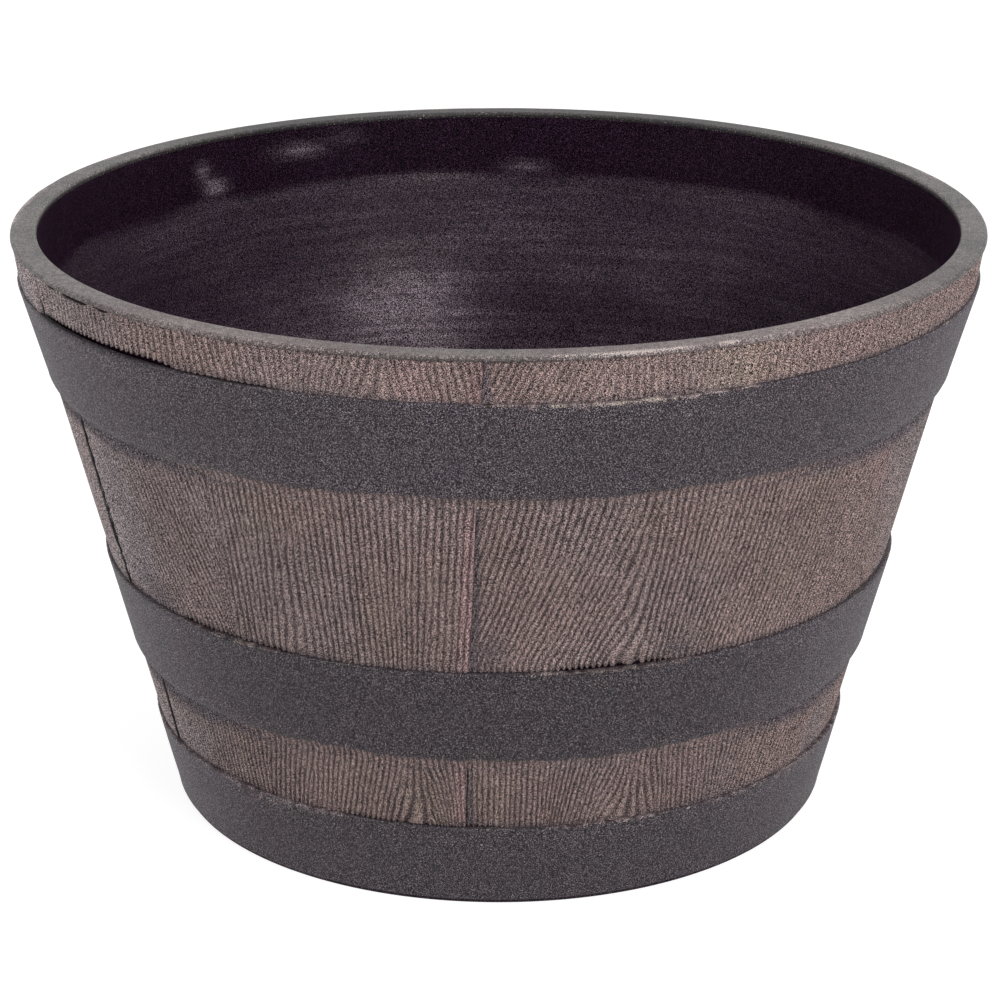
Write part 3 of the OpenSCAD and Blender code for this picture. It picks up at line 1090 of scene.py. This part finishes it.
def chip_zones(deg, chips):
    """How strong the chips of an upper edge are, and how pale, from (from, to, strength, pale) in degrees."""
    strength, pale = np.full(len(deg), 0.2), np.zeros(len(deg))
    for start, end, share, light in chips:
        inside = between(deg, start, end, 4)
        strength = np.maximum(strength, share * inside)
        pale = np.maximum(pale, light * inside)
    return strength, pale


def grain_into_hoop(deg, z, stave, band, levels, proud, chamfer):
    """The lower edge of a hoop over one stave, whose grain runs out in it: its radius and its ridges."""
    low = levels[0]
    edge = low + 0 * z
    face = stave_face_r(deg, edge, stave, band) + GRAIN_DEPTH * (1 - grain(deg, edge, stave)) + 0.02
    line = hoop_r(low + chamfer, levels, proud)
    rise = np.clip((z - low) / chamfer, 0, 1)
    groove = GRAIN_DEPTH * (1 - grain(deg, z, stave)) * smooth(1.25 - 1.6 * rise)
    ridges = np.clip(0.5 + 0.42 * grain_wave(deg, z, stave), 0, 1)
    return face + (line - face) * smooth(rise) - groove, ridges


def hoop_bare(deg, z, levels, chamfer, bare_edge, pale):
    """Where wood colour shows on a hoop: along a lower edge with a chamfer, and at a worn upper edge."""
    low, high = levels
    seed = int(high)
    bare = np.zeros(len(deg))
    if chamfer:
        reach = 0.52 * chamfer + 1.3 * ring_noise(deg, 30, seed + 5) + 0.6 * ring_noise(deg, 200, seed + 6)
        bare = smooth((reach - (z - low)) / 4.5 + 0.5) * (1 - side_share(deg))
    if bare_edge:
        spread = np.where(np.abs(deg) < 90, smooth((np.abs(deg - 4) - 14) / 22), 0.6)
        reach = bare_edge * spread * (0.8 + 0.5 * ring_noise(deg, 50, seed + 7))
        bare = np.maximum(bare, 0.45 * smooth((reach - (high - z)) / 5 + 0.3) * spread)
    torn = pale * (1.9 + 2.6 * ring_noise(deg, 560, seed + 10) + 1.3 * ring_noise(deg, 200, seed + 11))
    return np.maximum(bare, 0.8 * smooth((torn - (high - z)) / 2.4 + 0.5) * smooth(4 * pale))


def make_hoop(number, proud, chamfer, chips, bare_edge, shade):
    """A hoop with a chipped upper edge, counted from the top; shade is a share added to its grey in front, as
    painted shade.
    """
    node, levels = HOOP_NODES[number], HOOP_LEVELS[number]
    low, high = levels
    seed = int(high)
    obj = spin_profile(f"{node}_band", hoop_points(levels, proud, chamfer), HOOP_STEPS, closed=True)
    radius, deg, z = polar(read_vertices(obj.data))
    strength, pale = chip_zones(deg, chips)
    from_top = high - z
    outward = smooth((radius - hoop_r(z, levels, proud) + HOOP_THICK) / 1.2)
    loose = outward * smooth(1 - from_top / 3.6) * strength
    chipped = np.clip(1.6 * (ring_noise(deg, 520, seed) - 0.25), 0, 1)
    radius = radius - 1.5 * loose * chipped * (0.6 + 0.4 * ring_noise(deg, 90, seed + 1))
    z = z - 0.7 * loose * np.clip(ring_noise(deg, 300, seed + 2), 0, 1)
    sway = 0.22 * noise(deg, z, 16, 90, seed + 3) + 0.1 * noise(deg, z, 60, 25, seed + 4) - 0.2
    sway = sway * smooth((z - low) / 6)
    radius = radius + outward * sway
    ridges = np.zeros(len(deg))
    if chamfer:
        lip = (outward > 0.3) & (z < low + chamfer + 1)
        for stave in range(STAVES):
            left, right = joint_deg(stave, z), joint_deg(stave + 1, z)
            turned = left + np.mod(deg - left, 360)
            mine = lip & (turned < right)
            edge_r, ridges[mine] = grain_into_hoop(
                turned[mine], z[mine], stave, BANDS[number + 1], levels, proud, chamfer)
            radius[mine] = edge_r + sway[mine]
    write_vertices(obj.data, from_polar(radius, deg, z))
    down = high - z
    # A painted highlight along the ledge where the chips are palest, on top of the worn pale chips
    ledge_highlight = smooth(4 * pale - 3)
    worn_and_lit = smooth(1.2 - from_top / (1.1 + 1.7 * ledge_highlight))
    flecks = noise(deg, z, 420, 3, seed + 9)
    patch = pale * (0.45 + 1.3 * flecks) + ledge_highlight * (0.5 - 0.8 * flecks)
    patch = patch + 0.25 * ring_noise(deg, 70, seed + 8)
    # Painted shade darkens the top edge of the hoop below the open gaps
    add_marks(obj.data,
              grain=np.where(down < 12, 0.45 + 0.4 * noise(deg, z, 400, 3, seed + 12), ridges),
              bare=hoop_bare(deg, z, levels, chamfer, bare_edge, pale),
              grey=np.where(down < 8, 0.7, greyness(deg, z)),
              tone=shade * smooth((60 - np.abs(deg)) / 30) + 0.06 * noise(deg, z, 20, 60, seed + 13),
              grime=0.45 * np.clip(gap_share(deg, number), 0, 1) * smooth(1.1 - down / 4),
              edge=np.clip(worn_and_lit * patch, 0, 1))
    smooth_shading(obj, 40)
    finish_piece(obj, "tub", HOOP_RESIN, node)


def plug_model():
    """One drain plug at the origin: stem, flange and a ribbed finger grip."""
    low, high = ((corner / MM).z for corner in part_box("drain_plug_1"))
    points = [(0, low), (STEM_R - 1.5, low), (STEM_R - 0.2, low + 1.2), (STEM_R, low + 1.8)]
    points += [(STEM_R, FLANGE_LOW - 1), (STEM_R - 0.5, FLANGE_LOW - 0.4), (STEM_R - 0.5, FLANGE_LOW)]
    points += arc(FLANGE_R - 0.4, FLANGE_LOW + 0.4, 0.4, -90, 0, 3)
    points += arc(FLANGE_R - 1, FLANGE_TOP - 1, 1, 0, 90, 5)
    points += [(r, FLANGE_TOP - down) for r, down in ((10.6, 0), (10.2, 0.35), (9.4, 0.35), (9, 0), (0, 0))]
    plug = spin_profile("plug_model", points, 72)
    foot = FLANGE_TOP - 0.5
    grip = plain_box((GRIP_LONG, GRIP_T, high - foot), (0, 0, (foot + high) / 2))
    far = (GRIP_LONG / 2 - 0.1) * MM
    select_edges(grip, lambda co: (np.abs(co[:, 0]) > far) & (co[:, 2] > (high - 1) * MM))
    bpy.ops.mesh.bevel(offset=3 * MM, segments=5, affect="EDGES")
    bpy.ops.object.mode_set(mode="OBJECT")
    apply_modifier(grip, "BEVEL", width=0.6 * MM, segments=3, limit_method="ANGLE", angle_limit=0.6)
    for side in (-1.45, 1.45):
        for x in (-7.5, -4.5, -1.5, 1.5, 4.5, 7.5):
            combine(grip, plain_cylinder(0.5, 19.1, 22.7, (x, side), 16), "UNION")
    combine(plug, grip, "UNION")
    smooth_shading(plug, 35)
    return plug


def make_plugs():
    model = plug_model()
    for number, (x, y) in enumerate(drain_places(), 1):
        plug = copy_of(model, f"rubber_plug_{number}")
        turn = math.atan2(y, x)
        co = read_vertices(plug.data)
        turned = np.stack([co[:, 0] * math.cos(turn) - co[:, 1] * math.sin(turn) + x * MM,
                           co[:, 0] * math.sin(turn) + co[:, 1] * math.cos(turn) + y * MM, co[:, 2]], 1)
        write_vertices(plug.data, turned)
        finish_piece(plug, f"plug_{number}", PLUG_RUBBER, f"drain_plug_{number}")
    bpy.data.objects.remove(model)


def make_camera():
    """The photograph's view: in front, 742 mm up and tilted down by 19.8 degrees."""
    bpy.ops.object.camera_add(location=(0, -1.624, 0.742), rotation=(math.radians(90 - 19.82), 0, 0))
    camera = bpy.context.object
    camera.data.lens = 112
    camera.data.shift_x = 0.0013
    camera.data.clip_end = 20
    bpy.context.scene.camera = camera


def seen_rays(t):
    """1 for rays that show a surface, straight or in a reflection, and 0 for those that only light."""
    ray = t.add("LightPath", {})
    seen = t.math("MAXIMUM", ray["Is Camera Ray"], ray["Is Glossy Ray"])
    return t.math("MAXIMUM", seen, ray["Is Transmission Ray"])


def make_floor():
    """A floor that looks white and keeps the shadow, but throws little light on the planter."""
    deselect()
    bpy.ops.mesh.primitive_plane_add(size=12)
    floor = bpy.context.object
    floor.name = "floor"
    material = bpy.data.materials.new("white_floor")
    material.use_nodes = True
    t = Tree(material.node_tree)
    for node in list(t.nodes):
        t.nodes.remove(node)
    matt = t.add("BsdfDiffuse", {"Color": (0.35, 0.35, 0.35, 1)})[0]
    glow = t.add("Emission", {"Strength": 0.85})[0]
    both = t.add("AddShader", {0: matt, 1: glow})[0]
    shown = t.add("MixShader", {0: seen_rays(t), 1: matt, 2: both})[0]
    t.add("OutputMaterial", {"Surface": shown})
    floor.data.materials.append(material)


def make_world():
    """White where it is seen, and dimmer where it lights the planter."""
    world = bpy.data.worlds.new("studio")
    bpy.context.scene.world = world
    world.use_nodes = True
    t = Tree(world.node_tree)
    sky = t.nodes["Background"]
    sky.inputs["Color"].default_value = (1, 1, 1, 1)
    t.set(sky.inputs["Strength"], t.plus(t.times(seen_rays(t), 0.6), 0.4))


def add_lamp(name, place, aim, size, power):
    """A square soft lamp, in metres and watts."""
    deselect()
    bpy.ops.object.light_add(type="AREA", location=place)
    lamp = bpy.context.object
    lamp.name = name
    lamp.data.shape = "SQUARE"
    lamp.data.size = size
    lamp.data.energy = power
    lamp.visible_camera = False
    direction = np.array(aim) - np.array(place)
    yaw = math.atan2(direction[1], direction[0]) - math.pi / 2
    pitch = math.atan2(direction[2], math.hypot(direction[0], direction[1]))
    lamp.rotation_euler = (math.pi / 2 + pitch, 0, yaw)


# Chips along the upper edge of each hoop: from, to in degrees, strength, and how pale they are; the palest
# also carry a painted highlight
UPPER_CHIPS = ((-60, -35, 0.7, 0.0), (-2, 28, 1.0, 0.7), (4, 20, 1.0, 1.0))
MIDDLE_CHIPS = ((-54, -26, 0.9, 0.1), (-46, -31, 1.0, 0.5), (4, 27, 1.0, 0.45))
BASE_CHIPS = ((-26, 0, 0.7, 0.05), (8, 26, 0.4, 0.3))

make_tub()
make_rim()
make_staves()
make_hoop(0, proud=(2.2, 4.1), chamfer=HOOP_CHAMFER, chips=UPPER_CHIPS, bare_edge=0, shade=-0.16)
make_hoop(1, proud=(2.2, 2.5), chamfer=HOOP_CHAMFER, chips=MIDDLE_CHIPS, bare_edge=0, shade=-0.32)
make_hoop(2, proud=(2.5, 2.3), chamfer=0, chips=BASE_CHIPS, bare_edge=5, shade=-0.27)
make_plugs()
make_camera()
make_floor()
make_world()
add_lamp("key_lamp", place=(1.3, -2.2, 1.7), aim=(0, 0, 0.2), size=1.4, power=40)
add_lamp("fill_lamp", place=(-2.2, -1.2, 1.2), aim=(0, 0, 0.15), size=1.6, power=16)
add_lamp("top_lamp", place=(0.2, 0.6, 2.6), aim=(0, 0, 0.2), size=2.0, power=16)

bpy.context.scene.view_settings.view_transform = "Standard"
bpy.context.view_layer.update()
